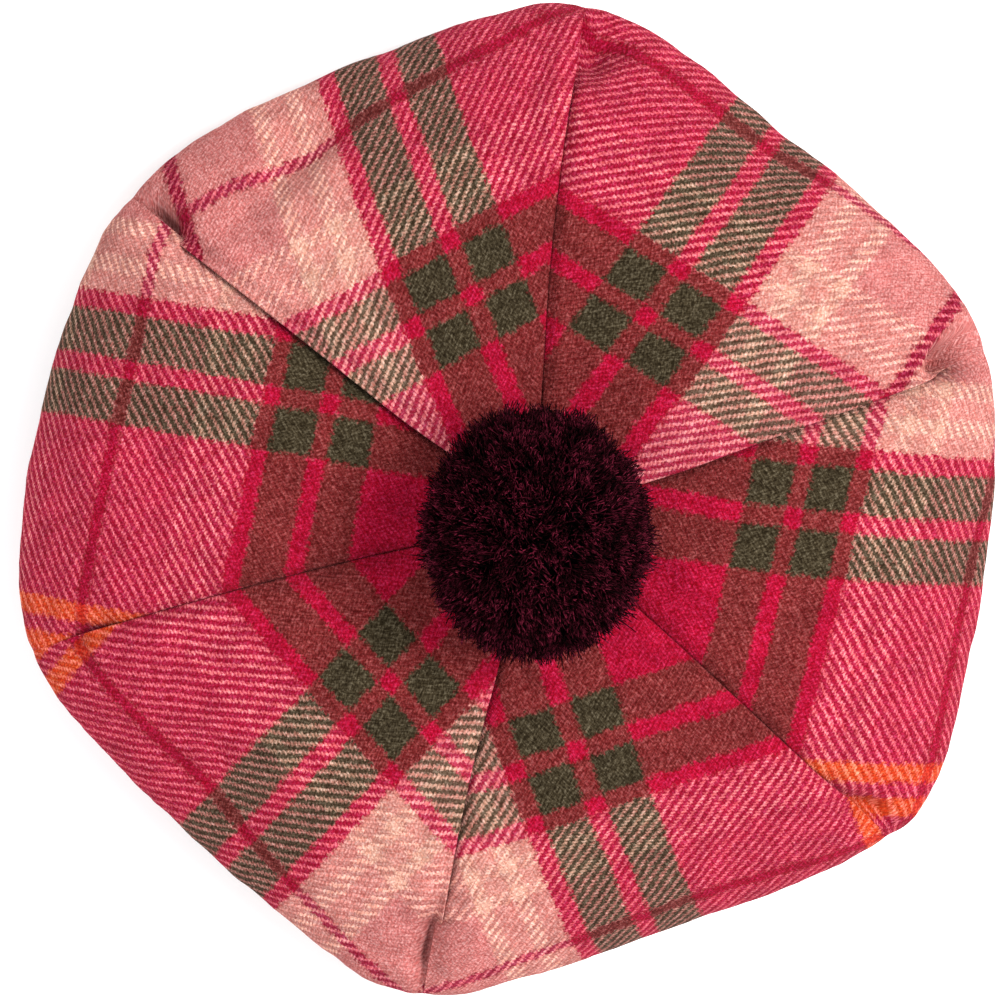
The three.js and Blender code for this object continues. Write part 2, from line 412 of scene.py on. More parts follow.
    def napped(self, tree: bpy.types.NodeTree, weft: bpy.types.NodeSocket, warp: bpy.types.NodeSocket,
               over: bpy.types.NodeSocket,
               plump: bpy.types.NodeSocket) -> tuple[bpy.types.NodeSocket, bpy.types.NodeSocket]:
        """Lays the nap over the twill: fibres of both yarns, felted together.

        Args:
            tree: The material's node tree.
            weft: The weft's colour.
            warp: The warp's colour.
            over: Whether the warp is on top.
            plump: How high the top yarn arches.

        Returns:
            The colour, and the painted shade for a dark yarn beside a pale one, with a slight painted
            highlight on a pale top.
        """
        top = add(tree, "Mix", {"Factor": over, 6: weft, 7: warp}, out=2, data_type="RGBA")
        green_part = (0.0, 1.0, 0.0)
        differ = add(tree, "VectorMath", {0: weft, 1: warp}, operation="SUBTRACT")
        differ = add(tree, "VectorMath", {0: differ, 1: green_part}, out="Value", operation="DOT_PRODUCT")

        # Beside a coarser yarn, red gives less of the nap. Two yarns that are alike give an even mix.
        warp_share = add(tree, "MapRange", {"Value": differ, "From Min": -self.red_step,
                                            "From Max": self.red_step, "To Min": 1.0 - self.red_share,
                                            "To Max": self.red_share})
        alike = add(tree, "Mix", {"Factor": warp_share, 6: weft, 7: warp}, out=2, data_type="RGBA")

        # Of two that are unlike, brushing raises the weft most, and then whichever yarn is on top.
        led = add(tree, "VectorMath", {0: weft, 1: warp}, operation="MULTIPLY")
        led = add(tree, "VectorMath", {0: led, 1: weft}, operation="MULTIPLY")
        led = add(tree, "VectorMath", {0: led, 1: top}, operation="MULTIPLY")
        led = add(tree, "Gamma", {"Color": led, "Gamma": 0.25})
        differ = add(tree, "Math", {0: differ}, operation="ABSOLUTE")
        contrast = add(tree, "MapRange", {"Value": differ, "From Min": self.like, "From Max": self.unlike})
        felted = add(tree, "Mix", {"Factor": contrast, 6: alike, 7: led}, out=2, data_type="RGBA")

        # The nap is thinnest on the crest of a float.
        crest = add(tree, "Math", {0: plump, 1: contrast}, operation="MULTIPLY")
        cover = add(tree, "MapRange", {"Value": crest, "To Min": self.nap, "To Max": self.crest_nap})
        colour = add(tree, "Mix", {"Factor": cover, 6: top, 7: felted}, out=2, data_type="RGBA")

        # A pale yarn is plumper than a dark one, so it stands up beside it and the dark one lies in a groove.
        # Painted shade darkens the dark yarn's groove, and a slight painted highlight lightens the pale yarn's
        # top.
        stand = add(tree, "VectorMath", {0: top, 1: alike}, operation="SUBTRACT")
        stand = add(tree, "VectorMath", {0: stand, 1: green_part}, out="Value", operation="DOT_PRODUCT")
        painted_groove_shade = add(tree, "MapRange", {"Value": stand, "From Min": -self.groove_step,
                                        "From Max": self.groove_step, "To Min": self.groove_light,
                                        "To Max": self.proud_light})
        return colour, painted_groove_shade

    def build(self) -> bpy.types.Material:
        """Makes the material.

        Returns:
            The cloth, which reads weave and row_way from the mesh it is on.
        """
        material, tree = new_tree("brushed_tartan_wool")
        weave = add(tree, "Attribute", attribute_name="weave", out="Vector")
        row_way = add(tree, "Attribute", attribute_name="row_way", out="Fac")

        # The threads waver, and brushed fibres carry each stripe's colour a thread or so past its edge.
        threads = self.shaken(tree, weave, weave, self.waver, self.waver_length, 2.0)
        frayed = self.shaken(tree, threads, weave, self.ragged, self.ragged_length, 3.0)
        frayed_x = add(tree, "SeparateXYZ", {0: frayed}, out="X")
        frayed_y = add(tree, "SeparateXYZ", {0: frayed}, out="Y")
        frayed_row = add(tree, "Math", {0: frayed_y, 1: row_way}, operation="MULTIPLY")
        warp = self.stripes(tree, frayed_x, self.warp_spacing)
        weft = self.stripes(tree, frayed_row, self.weft_spacing)
        laid = self.shaken(tree, threads, weave, self.wobble, self.wobble_length, 2.0)
        over, plump = self.twill(tree, laid)
        colour, painted_groove_shade = self.napped(tree, weft, warp, over, plump)
        fleck = self.flecks(tree, weave)

        # Fibre ends catch the light or leave a dark gap, which shows most on the dark yarns.
        grain = add(tree, "MapRange", {"Value": fleck, "From Min": self.fleck_low,
                                       "From Max": self.fleck_high, "To Min": 1.0 + self.grain,
                                       "To Max": 1.0 - self.grain})
        colour = add(tree, "Gamma", {"Color": colour, "Gamma": grain})
        # Painted shade at float ends and in grooves, and a painted highlight on crests, scale the colour.
        hollow = add(tree, "MapRange", {"Value": plump, "To Min": self.dive_light,
                                        "To Max": self.crest_light})
        patches = add(tree, "TexNoise", {"Vector": weave, "Scale": 1.0 / self.patch_size, "Detail": 3.0})
        shade = add(tree, "MapRange", {"Value": patches, "From Min": 0.3, "From Max": 0.7,
                                       "To Min": 1.0 - self.patch_depth, "To Max": 1.0 + self.patch_depth})
        light = add(tree, "Math", {0: hollow, 1: painted_groove_shade}, operation="MULTIPLY")
        light = add(tree, "Math", {0: light, 1: shade}, operation="MULTIPLY")
        colour = add(tree, "VectorMath", {0: colour, "Scale": light}, operation="SCALE")

        height = add(tree, "Math", {0: plump, 1: 0.5, 2: fleck}, operation="MULTIPLY_ADD")
        bump = add(tree, "Bump", {"Height": height, "Strength": 1.0, "Distance": self.relief * MM})
        wool = add(tree, "BsdfPrincipled", {"Base Color": colour, "Normal": bump, "Roughness": 0.95,
                                            "IOR": 1.45, "Specular IOR Level": 0.02, "Sheen Weight": 0.03,
                                            "Sheen Roughness": 0.6, "Sheen Tint": (1.0, 0.6, 0.6, 1.0)})
        add(tree, "OutputMaterial", {"Surface": wool})
        return material


@dataclass(frozen=True)
class PompomYarn:
    """Soft-spun wool yarn, dyed very dark wine, cut and fluffed into a pompom.

    The cut ends spring open into single fibres. Their colour is painted darker towards the root, nearly black:
    painted shade, as hardly any light comes back out from low in the pile. Lengths are in mm.
    """

    painted_root_shade: str = "050003"
    tip: str = "3c0c18"
    # Share of a fibre's length below which it is all in the painted root shade.
    shaded: float = 0.45
    # Specks where single ends took more or less dye, and clumps of tufts that did.
    speck: float = 1.3
    speck_low: float = 0.12
    speck_high: float = 2.6
    clump: float = 5.0
    clump_low: float = 0.35
    clump_high: float = 1.4

    def build(self) -> bpy.types.Material:
        """Makes the material.

        Returns:
            The yarn, which reads reach and dye from the mesh it is on.
        """
        material, tree = new_tree("pompom_wool_yarn")
        reach = add(tree, "Attribute", attribute_name="reach", out="Fac")
        dye = add(tree, "Attribute", attribute_name="dye", out="Fac")
        # The colour runs from the painted root shade to the yarn's own colour at the tip.
        tipward = add(tree, "MapRange", {"Value": reach, "From Min": self.shaded})
        colour = add(tree, "Mix", {"Factor": tipward, 6: linear(self.painted_root_shade), 7: linear(self.tip)}, out=2,
                     data_type="RGBA")
        place = add(tree, "TexCoord", out="Object")
        speck = add(tree, "TexNoise", {"Vector": place, "Scale": 1.0 / (self.speck * MM), "Detail": 2.0})
        speck = add(tree, "MapRange", {"Value": speck, "From Min": 0.42, "From Max": 0.66,
                                       "To Min": self.speck_low, "To Max": self.speck_high})
        clump = add(tree, "TexNoise", {"Vector": place, "Scale": 1.0 / (self.clump * MM), "Detail": 1.0})
        clump = add(tree, "MapRange", {"Value": clump, "From Min": 0.4, "From Max": 0.6,
                                       "To Min": self.clump_low, "To Max": self.clump_high})
        strength = add(tree, "Math", {0: speck, 1: dye}, operation="MULTIPLY")
        strength = add(tree, "Math", {0: strength, 1: clump}, operation="MULTIPLY")
        colour = add(tree, "VectorMath", {0: colour, "Scale": strength}, operation="SCALE")
        wool = add(tree, "BsdfPrincipled", {"Base Color": colour, "Roughness": 0.85, "IOR": 1.5,
                                            "Specular IOR Level": 0.02})
        add(tree, "OutputMaterial", {"Surface": wool})
        return material


@dataclass(frozen=True)
class MattBoard:
    """Matt white painted board that the hat lies on, so pale that it shows only soft shade.

    The roller left a faint texture, about 1 mm across.
    """

    paint: str = "fafafa"
    roller: float = 1.11
    relief: float = 0.1

    def build(self) -> bpy.types.Material:
        """Makes the material.

        Returns:
            The painted board.
        """
        material, tree = new_tree("matt_white_board")
        place = add(tree, "TexCoord", out="Object")
        texture = add(tree, "TexNoise", {"Vector": place, "Scale": 1.0 / (self.roller * MM), "Detail": 2.0})
        bump = add(tree, "Bump", {"Height": texture, "Strength": 0.1, "Distance": self.relief * MM})
        paint = add(tree, "BsdfPrincipled", {"Base Color": linear(self.paint), "Roughness": 0.95,
                                             "Normal": bump, "Specular IOR Level": 0.0})
        add(tree, "OutputMaterial", {"Surface": paint})
        return material


# ---------------------------------------------------------------- crown
@dataclass(frozen=True)
class Seam:
    """A seam of the crown, from the middle to a corner of the rim.

    turn and reach place the corner from the crown's middle, in degrees and mm. bow is how far the seam strays
    sideways, in mm, and drift how far it turns from the corner on the crown's outer part, in degrees. lap is
    how far the wedge after it stands over the wedge before it on the crown's flat, and pucker is twice the
    depth of the dip inside the rim.
    """

    turn: float
    reach: float
    bow: float
    drift: float
    lap: float
    pucker: float


@dataclass(frozen=True)
class Wedge:
    """One wedge of the crown, and how the tartan lies on it.

    bulge is how far its rim swells past a straight line, and slump how far its outer part sinks. x and y are
    where the two thin reds cross between the greens. warp_way is the direction that runs across the warp,
    outward, and row_way the direction of the weft rows there, in degrees. curl_in and curl_out are how the
    rows bend on the inner and outer side, in degrees over 50 mm. pale_side is 1 where the pale rows are on the
    anticlockwise side and -1 on the other. out_spread is how much the outer cloth is stretched along the
    wedge.
    """

    name: str
    bulge: float
    slump: float
    x: float
    y: float
    warp_way: float
    row_way: float
    curl_in: float
    curl_out: float
    pale_side: int
    out_spread: float


@dataclass(frozen=True)
class Fold:
    """A soft hump or dent in a wedge: its place and size in plan, and its rise (minus is a dent).

    turn is the direction of its length, in degrees, and length and width are from its middle to where it is a
    third as high.
    """

    wedge: int
    x: float
    y: float
    turn: float
    length: float
    width: float
    rise: float


SEAMS = (
    Seam(turn=22.0, reach=135.8, bow=-0.8, drift=-1.5, lap=2.2, pucker=4.6),
    Seam(turn=84.6, reach=146.4, bow=3.8, drift=0.0, lap=0.7, pucker=3.6),
    Seam(turn=140.8, reach=146.0, bow=0.0, drift=0.7, lap=-2.2, pucker=4.4),
    Seam(turn=194.6, reach=147.6, bow=-2.0, drift=0.0, lap=0.6, pucker=3.2),
    Seam(turn=255.6, reach=139.4, bow=-2.8, drift=1.2, lap=-2.0, pucker=4.0),
    Seam(turn=320.8, reach=135.8, bow=-2.4, drift=-3.0, lap=-0.9, pucker=4.4),
)

WEDGES = (
    Wedge("crown_panel_1", bulge=5.2, slump=1.0, x=37.7, y=50.3, warp_way=58.0, row_way=54.0,
          curl_in=0.0, curl_out=0.0, pale_side=-1, out_spread=1.09),
    Wedge("crown_panel_2", bulge=5.6, slump=0.0, x=-9.9, y=55.9, warp_way=119.0, row_way=112.0,
          curl_in=0.0, curl_out=-3.0, pale_side=1, out_spread=1.00),
    Wedge("crown_panel_3", bulge=8.6, slump=0.0, x=-48.9, y=26.2, warp_way=168.0, row_way=170.0,
          curl_in=0.0, curl_out=0.0, pale_side=-1, out_spread=0.91),
    Wedge("crown_panel_4", bulge=4.6, slump=1.0, x=-32.3, y=-49.7, warp_way=221.5, row_way=227.0,
          curl_in=0.0, curl_out=0.0, pale_side=1, out_spread=1.01),
    Wedge("crown_panel_5", bulge=2.0, slump=5.0, x=18.9, y=-68.5, warp_way=-71.5, row_way=-71.0,
          curl_in=0.0, curl_out=3.0, pale_side=-1, out_spread=0.87),
    Wedge("crown_panel_6", bulge=7.0, slump=4.0, x=77.7, y=-4.9, warp_way=-14.0, row_way=-6.0,
          curl_in=8.0, curl_out=3.0, pale_side=1, out_spread=0.97),
)

# Soft folds of the slack cloth, each in the middle of a wedge.
FOLDS = (
    Fold(wedge=1, x=-77, y=97, turn=45, length=26, width=8, rise=3.0),
    Fold(wedge=1, x=-62, y=92, turn=45, length=24, width=7, rise=-7.5),
    Fold(wedge=0, x=100, y=74, turn=-38, length=26, width=9, rise=2.6),
    Fold(wedge=0, x=72, y=98, turn=-30, length=28, width=10, rise=-2.4),
    Fold(wedge=2, x=-116, y=20, turn=84, length=34, width=10, rise=2.6),
    Fold(wedge=3, x=-86, y=-74, turn=138, length=30, width=10, rise=-2.2),
    Fold(wedge=4, x=34, y=-112, turn=18, length=30, width=9, rise=1.4),
    Fold(wedge=5, x=112, y=-30, turn=78, length=32, width=10, rise=1.6),
)

# Dimples where a seam runs out before the rim and one wedge folds in under its neighbour, with the ridges
# beside them.
PUCKERS = (
    Fold(wedge=0, x=124.0, y=41.5, turn=38, length=6, width=3.8, rise=-12.0),
    Fold(wedge=5, x=124.5, y=37.5, turn=27, length=5.5, width=2.6, rise=-7.0),
    Fold(wedge=5, x=121.0, y=26.5, turn=27, length=20, width=5.5, rise=2.6),
    Fold(wedge=0, x=25.5, y=126.0, turn=84, length=8, width=7, rise=-7.5),
    Fold(wedge=1, x=17.5, y=126.7, turn=84, length=20, width=6, rise=1.8),
    Fold(wedge=1, x=-98.0, y=80.0, turn=141, length=8, width=4, rise=-5.5),
    Fold(wedge=2, x=-103.4, y=74.6, turn=142, length=26, width=7, rise=3.4),
    Fold(wedge=2, x=-117.0, y=-38.0, turn=194, length=8, width=4, rise=-3.6),
    Fold(wedge=3, x=-21.9, y=-124.0, turn=262, length=12, width=3.2, rise=-6.0),
    Fold(wedge=4, x=-13.7, y=-126.2, turn=258, length=22, width=6, rise=2.2),
    Fold(wedge=5, x=102.6, y=-87.2, turn=-28, length=4.6, width=3.4, rise=-4.5),
    Fold(wedge=4, x=96.1, y=-93.9, turn=-42, length=20, width=6, rise=1.8),
)

# The cloth's line in section, from the crown's middle over the rim and back in to the headband: out and up.
SECTION = ((0, 47.0), (32, 52.8), (68, 54.0), (97, 50.4), (118, 43.8), (131, 36.2), (138, 29.6), (140, 24.0),
           (138, 18.6), (131, 14.8), (119, 15.2), (105, 20.6), (92.9, 26.8))
# Turn from one seam to the next where the wedges are alike, in degrees.
WEDGE_TURN = 60.0


@dataclass(frozen=True)
class CrownShape:
    """The crown's surface. along runs down SECTION and place runs round the rim, one whole number a seam.

    Names that end in _on or _off hold the stretch of along over which something comes or goes.
    """

    cloth: float = 2.0
    middle: tuple[float, float] = (8.3, -5.5)
    middle_hole: float = 2.6
    rim_nominal: float = 140.0
    rim_row: int = 7
    rim_cuts: int = 6
    corner_outset: float = 3.0
    stitch_depth: float = 2.4
    stitch_width: float = 2.6
    rim_stitch_share: float = 0.15
    hollow_depth: float = 1.5
    hollow_width: float = 16.0
    lap_width: float = 9.0
    pucker_share: float = 0.5
    pucker_inside: float = 13.0
    pucker_length: float = 12.0
    pucker_width: float = 8.0
    drift_on: tuple[float, float] = (0.5, 4.0)
    drift_off: tuple[float, float] = (7.0, 10.0)
    top_off: tuple[float, float] = (6.0, 8.0)
    seam_on: tuple[float, float] = (0.3, 1.4)
    stitch_off: tuple[float, float] = (4.1, 5.6)
    lap_on: tuple[float, float] = (0.2, 1.2)
    lap_off: tuple[float, float] = (3.8, 5.0)
    dimple_off: tuple[float, float] = (5.0, 6.6)

    @property
    def spans(self) -> int:
        """How many spans the section has."""
        return len(SECTION) - 1

    @cached_property
    def controls(self) -> np.ndarray:
        """Places the control points of the rim's smooth outline.

        Returns:
            One row a point, in plan, anticlockwise from the first seam.
        """
        turns = np.radians([seam.turn for seam in SEAMS])
        reach = np.array([seam.reach for seam in SEAMS]) + self.corner_outset
        corners = np.array(self.middle) + np.stack([reach * np.cos(turns), reach * np.sin(turns)], axis=1)
        sides = np.roll(corners, -1, axis=0) - corners
        outward = np.stack([sides[:, 1], -sides[:, 0]], axis=1)
        outward /= np.linalg.norm(outward, axis=1, keepdims=True)
        part = (np.arange(self.rim_cuts) / self.rim_cuts)[None, :, None]
        swell = np.array([wedge.bulge for wedge in WEDGES])[:, None, None] * 4.0 * part * (1.0 - part)
        return (corners[:, None] + sides[:, None] * part + outward[:, None] * swell).reshape(-1, 2)

    def rim(self, place: np.ndarray) -> np.ndarray:
        """Finds points on the rim.

        Args:
            place: Place round the rim.

        Returns:
            The points, in plan.
        """
        scaled = np.asarray(place, float) * self.rim_cuts
        knot = np.floor(scaled).astype(int)
        f = scaled - knot
        weights = ((1 - f) ** 3, 3 * f ** 3 - 6 * f ** 2 + 4, 1 + 3 * f + 3 * f ** 2 - 3 * f ** 3, f ** 3)
        count = len(self.controls)
        return sum(self.controls[(knot - 1 + k) % count] * (weight / 6.0)[..., None]
                   for k, weight in enumerate(weights))

    def section(self, along: np.ndarray) -> tuple[np.ndarray, np.ndarray]:
        """Follows the section's smooth curve.

        Args:
            along: Place down the section.

        Returns:
            How far out and how far up the curve is there.
        """
        rows = np.array(SECTION, float)
        along = np.clip(along, 0.0, self.spans)
        span = np.minimum(np.floor(along).astype(int), self.spans - 1)
        t = (along - span)[..., None]
        before = rows[np.maximum(span - 1, 0)]
        start, end = rows[span], rows[span + 1]
        after = rows[np.minimum(span + 2, self.spans)]
        leave, arrive = (end - before) / 2.0, (after - start) / 2.0
        point = ((2 * start - 2 * end + leave + arrive) * t ** 3
                 + (-3 * start + 3 * end - 2 * leave - arrive) * t ** 2 + leave * t + start)
        return point[..., 0], point[..., 1]

    def line(self, along: np.ndarray, place: np.ndarray) -> np.ndarray:
        """Finds points in the middle of the cloth's thickness, before any hollow or fold.

        Args:
            along: Place down the section.
            place: Place round the rim.

        Returns:
            The points, in mm.
        """
        along, place = np.broadcast_arrays(np.asarray(along, float), np.asarray(place, float))
        out, up = self.section(along)
        reach = out / self.rim_nominal
        near = np.round(place).astype(int)
        share = np.maximum(0.0, 1.0 - 2.0 * np.abs(place - near))
        drift = np.array([seam.drift for seam in SEAMS])[near % len(SEAMS)]
        outer = smoothstep(along, *self.drift_on) * (1.0 - smoothstep(along, *self.drift_off))
        rim = self.rim(place + drift / WEDGE_TURN * share * outer)
        middle = np.array(self.middle)
        spoke = rim - middle
        spoke = spoke / np.linalg.norm(spoke, axis=-1, keepdims=True)
        bow = np.array([seam.bow for seam in SEAMS])[near % len(SEAMS)]
        sway = bow * share * np.sin(math.pi * np.minimum(reach, 1.0))
        top = middle + (rim - middle) * reach[..., None]
        top = top + np.stack([-spoke[..., 1], spoke[..., 0]], axis=-1) * sway[..., None]
        end = SECTION[-1][0]
        inner = rim / np.linalg.norm(rim, axis=-1, keepdims=True) * end
        under = inner + (rim - inner) * ((out - end) / (self.rim_nominal - end))[..., None]
        plan = np.where((along <= self.rim_row)[..., None], top, under)
        return np.concatenate([plan, up[..., None]], axis=-1)

    def normal(self, along: np.ndarray, place: np.ndarray) -> np.ndarray:
        """Finds the outward direction of the smooth cloth.

        Args:
            along: Place down the section.
            place: Place round the rim.

        Returns:
            Directions of length 1.
        """
        step = 0.02
        down = self.line(np.minimum(along + step, self.spans), place)
        down = down - self.line(np.maximum(along - step, 0.0), place)
        across = self.line(along, place + step) - self.line(along, place - step)
        normal = np.cross(down, across)
        return normal / np.linalg.norm(normal, axis=-1, keepdims=True)

    def rise(self, along: np.ndarray, wedge: int, across: np.ndarray, point: np.ndarray) -> np.ndarray:
        """How far the cloth stands out of its smooth line.

        Args:
            along: Place down the section.
            wedge: Number of the wedge.
            across: Place across the wedge, from 0 to 1.
            point: The smooth line's points there.

        Returns:
            The rise in mm, which is minus in hollows.
        """
        near = wedge + (across >= 0.5).astype(int)
        seam = {name: np.array([getattr(row, name) for row in SEAMS])[near % len(SEAMS)]
                for name in ("lap", "pucker")}
        spoke = np.linalg.norm(self.rim(near) - np.array(self.middle), axis=-1)
        reach = np.hypot(point[..., 0] - self.middle[0], point[..., 1] - self.middle[1])
        # A wedge is a sixth of a turn, so it is as wide as the reach.
        away = np.abs(near - wedge - across) * reach
        on_top = 1.0 - smoothstep(along, *self.top_off)
        clear = smoothstep(along, *self.seam_on)
        eased = 1.0 - (1.0 - self.rim_stitch_share) * smoothstep(along, *self.stitch_off)
        rise = -self.stitch_depth * bell(away, self.stitch_width) * clear * eased
        rise = rise - self.hollow_depth * bell(away, self.hollow_width) * clear
        after = np.where(near == wedge, 1.0, -1.0)
        flat = smoothstep(along, *self.lap_on) * (1.0 - smoothstep(along, *self.lap_off))
        rise = rise + after * seam["lap"] * bell(away, self.lap_width) * flat
        inside = spoke - self.pucker_inside - reach
        dimple = self.pucker_share * seam["pucker"]
        rise = rise - dimple * bell(away, self.pucker_width) * bell(inside, self.pucker_length) * on_top
        fade = np.sin(math.pi * np.clip(across, 0.0, 1.0))
        inner = 1.0 - smoothstep(along, *self.dimple_off)
        for fold, share in [(fold, fade) for fold in FOLDS] + [(fold, inner) for fold in PUCKERS]:
            if fold.wedge == wedge:
                turn = math.radians(fold.turn)
                dx, dy = point[..., 0] - fold.x, point[..., 1] - fold.y
                lengthwise = dx * math.cos(turn) + dy * math.sin(turn)
                crosswise = dy * math.cos(turn) - dx * math.sin(turn)
                swell = fold.rise * bell(lengthwise, fold.length) * bell(crosswise, fold.width)
                rise = rise + swell * on_top * share
        return rise

    def height_at(self, x: np.ndarray, y: np.ndarray) -> np.ndarray:
        """Finds the height of the crown's upper face near the middle.

        Args:
            x: First coordinate of each place, in plan.
            y: Second coordinate of each place, in plan.

        Returns:
            The heights, in mm.
        """
        along = np.linspace(0.0, 4.0, 80)
        out, up = self.section(along)
        reach = np.hypot(x - self.middle[0], y - self.middle[1])
        return np.interp(reach, out, up) + self.cloth / 2.0


@dataclass
class CrownPanel:
    """One wedge of tartan: from the crown's middle over the rim and in to the headband.

    Names that end in _on or _off hold the stretch of the section over which something comes or goes.
    """

    number: int
    shape: CrownShape
    rows_per_span: int = 12
    columns: int = 96
    edge_round: float = 1.3
    rim_edge_round: float = 0.05
    edge_gap: float = 0.26
    rim_gap: float = 0.0
    overhang: float = 1.1
    unevenness: float = 0.35
    uneven_lengths: tuple[float, float] = (34.0, 13.0)
    short_share: float = 0.4
    pile_lumps: float = 0.06
    pile_length: float = 4.5
    gathers: float = 0.35
    gather_pitch: float = 8.5
    gather_drift: float = 40.0
    gather_width: float = 6.0
    overhang_on: tuple[float, float] = (0.3, 1.5)
    overhang_off: tuple[float, float] = (4.0, 5.6)
    gap_off: tuple[float, float] = (3.4, 4.8)
    gathers_on: tuple[float, float] = (2.0, 4.0)
    gathers_off: tuple[float, float] = (5.0, 6.5)
    relief_on: tuple[float, float] = (0.2, 1.0)
    slump_on: tuple[float, float] = (1.6, 5.0)
    slump_off: tuple[float, float] = (9.0, 12.0)
    round_off: tuple[float, float] = (3.2, 5.0)
    speckle_step: float = 40.0
    curl_run: float = 50.0
    curl_limit: float = 110.0

    @property
    def wedge(self) -> Wedge:
        """This wedge's row in the table."""
        return WEDGES[self.number]

    def grid(self) -> tuple[np.ndarray, np.ndarray, np.ndarray]:
        """Places of the panel's points.

        Returns:
            along, across and the wedge's width in mm, each a grid of rows and columns.
        """
        shape = self.shape
        rows = shape.spans * self.rows_per_span + 1
        start = shape.middle_hole / SECTION[1][0]
        along = np.maximum(np.linspace(0.0, shape.spans, rows), start)[:, None]
        left = shape.line(along, self.number)
        right = shape.line(along, self.number + 1)
        width = np.linalg.norm(left - right, axis=-1)
        on_top = smoothstep(along, *self.overhang_on) * (1.0 - smoothstep(along, *self.overhang_off))
        over_left = max(SEAMS[self.number].lap, 0.0) * self.overhang
        over_right = max(-SEAMS[(self.number + 1) % len(SEAMS)].lap, 0.0) * self.overhang
        gap = self.edge_gap + (self.rim_gap - self.edge_gap) * smoothstep(along, *self.gap_off)
        first = (gap - over_left * on_top) / width
        last = 1.0 - (gap - over_right * on_top) / width
        even = (1.0 - np.cos(math.pi * np.arange(self.columns) / (self.columns - 1))) / 2.0
        across = first + (last - first) * even[None, :]
        return np.broadcast_to(along, across.shape), across, np.broadcast_to(width, across.shape)

    def relief(self, along: np.ndarray, across: np.ndarray, width: np.ndarray, x: np.ndarray,
               y: np.ndarray) -> np.ndarray:
        """Works out the small unevenness of the cloth itself, with the gathers beside the seams.

        Args:
            along: Place down the section.
            across: Place across the wedge, from 0 to 1.
            width: The wedge's width there, in mm.
            x: First coordinate of each point, in plan.
            y: Second coordinate of each point, in plan.

        Returns:
            A height for each point, in mm.
        """
        edge = np.minimum(across - across[:, :1], across[:, -1:] - across) * width
        seed = 10 * self.number
        long, short = self.uneven_lengths
        height = self.unevenness * ripple(x, y, long, seed + 1)
        height = height + self.short_share * self.unevenness * ripple(x, y, short, seed + 2)
        height = height + self.pile_lumps * ripple(x, y, self.pile_length, seed + 3)
        height = height * smoothstep(edge, -1.0, 12.0)
        outer = smoothstep(along, *self.gathers_on) * (1.0 - smoothstep(along, *self.gathers_off))
        reach = np.hypot(x - self.shape.middle[0], y - self.shape.middle[1])
        shift = 2.0 * ripple(x, y, self.gather_drift, seed + 4)
        gather = np.sin(2.0 * math.pi * reach / self.gather_pitch + shift)
        beside = bell(edge - self.gather_width / 2.0, self.gather_width)
        height = height + self.gathers * gather * beside * outer
        return height * smoothstep(along, *self.relief_on)

    def points(self) -> tuple[np.ndarray, np.ndarray, np.ndarray]:
        """Works out the panel's points.

        Returns:
            Outer points, inner points, and the middle surface they stand on.
        """
        shape = self.shape
        along, across, width = self.grid()
        place = self.number + across
        smooth = shape.line(along, place)
        normal = shape.normal(along, place)
        rise = shape.rise(along, self.number, across, smooth)
        rise = rise + self.relief(along, across, width, smooth[..., 0], smooth[..., 1])
        cloth = smooth + normal * rise[..., None]
        onset = smoothstep(along, *self.slump_on) * (1.0 - smoothstep(along, *self.slump_off))
        cloth[..., 2] -= self.wedge.slump * onset * np.sin(math.pi * np.clip(across, 0.0, 1.0)) ** 2
        edge = np.minimum(across - across[:, :1], across[:, -1:] - across) * width
        sharper = self.edge_round - self.rim_edge_round
        radius = self.edge_round - sharper * smoothstep(along, *self.round_off)
        inside = radius - np.minimum(edge, radius)
        drop = radius - np.sqrt(radius ** 2 - inside ** 2)
        outer = cloth + normal * (shape.cloth / 2.0 - drop)[..., None]
        inner = cloth - normal * (shape.cloth / 2.0)
        return outer, inner, cloth

    def weave(self, cloth: np.ndarray) -> np.ndarray:
        """Place of each point on the woven cloth, in mm from the crossing of the thin reds.

        Args:
            cloth: Grid of points in the middle of the cloth.

        Returns:
            Distance across the warp, distance across the rows, and a number that sets the wedge's speckle
            apart.
        """
        wedge = self.wedge
        warp_way = math.radians(wedge.warp_way)
        up_rows = math.radians(wedge.row_way + 90.0)
        dx, dy = cloth[..., 0] - wedge.x, cloth[..., 1] - wedge.y
        plan = dx * math.cos(warp_way) + dy * math.sin(warp_way)
        steps = np.diff(cloth, axis=0)
        forward = steps[..., 0] * math.cos(warp_way) + steps[..., 1] * math.sin(warp_way)
        level = np.hypot(steps[..., 0], steps[..., 1])
        lean = np.clip(np.abs(forward) / np.maximum(level, 1e-6), 0.5, 1.0) ** 2
        run = np.hypot(forward, steps[..., 2] * lean)
        run = np.vstack([np.zeros((1, run.shape[1])), np.cumsum(run, axis=0)])
        rows = self.shape.rim_row * self.rows_per_span
        at_crossing = [np.interp(0.0, plan[:rows, column], run[:rows, column])
                       for column in range(run.shape[1])]
        warp = run - np.array(at_crossing)
        warp = np.minimum(warp, PALE_START) + np.maximum(warp - PALE_START, 0.0) / wedge.out_spread
        row = dx * math.cos(up_rows) + dy * math.sin(up_rows)
        curl = np.where(warp > 0.0, wedge.curl_out, wedge.curl_in)
        bend = np.radians(curl) / self.curl_run
        row = row - bend * np.minimum(warp, self.curl_limit) ** 2 / 2.0
        return np.stack([warp, row, np.full_like(row, self.speckle_step * self.number)], axis=-1)

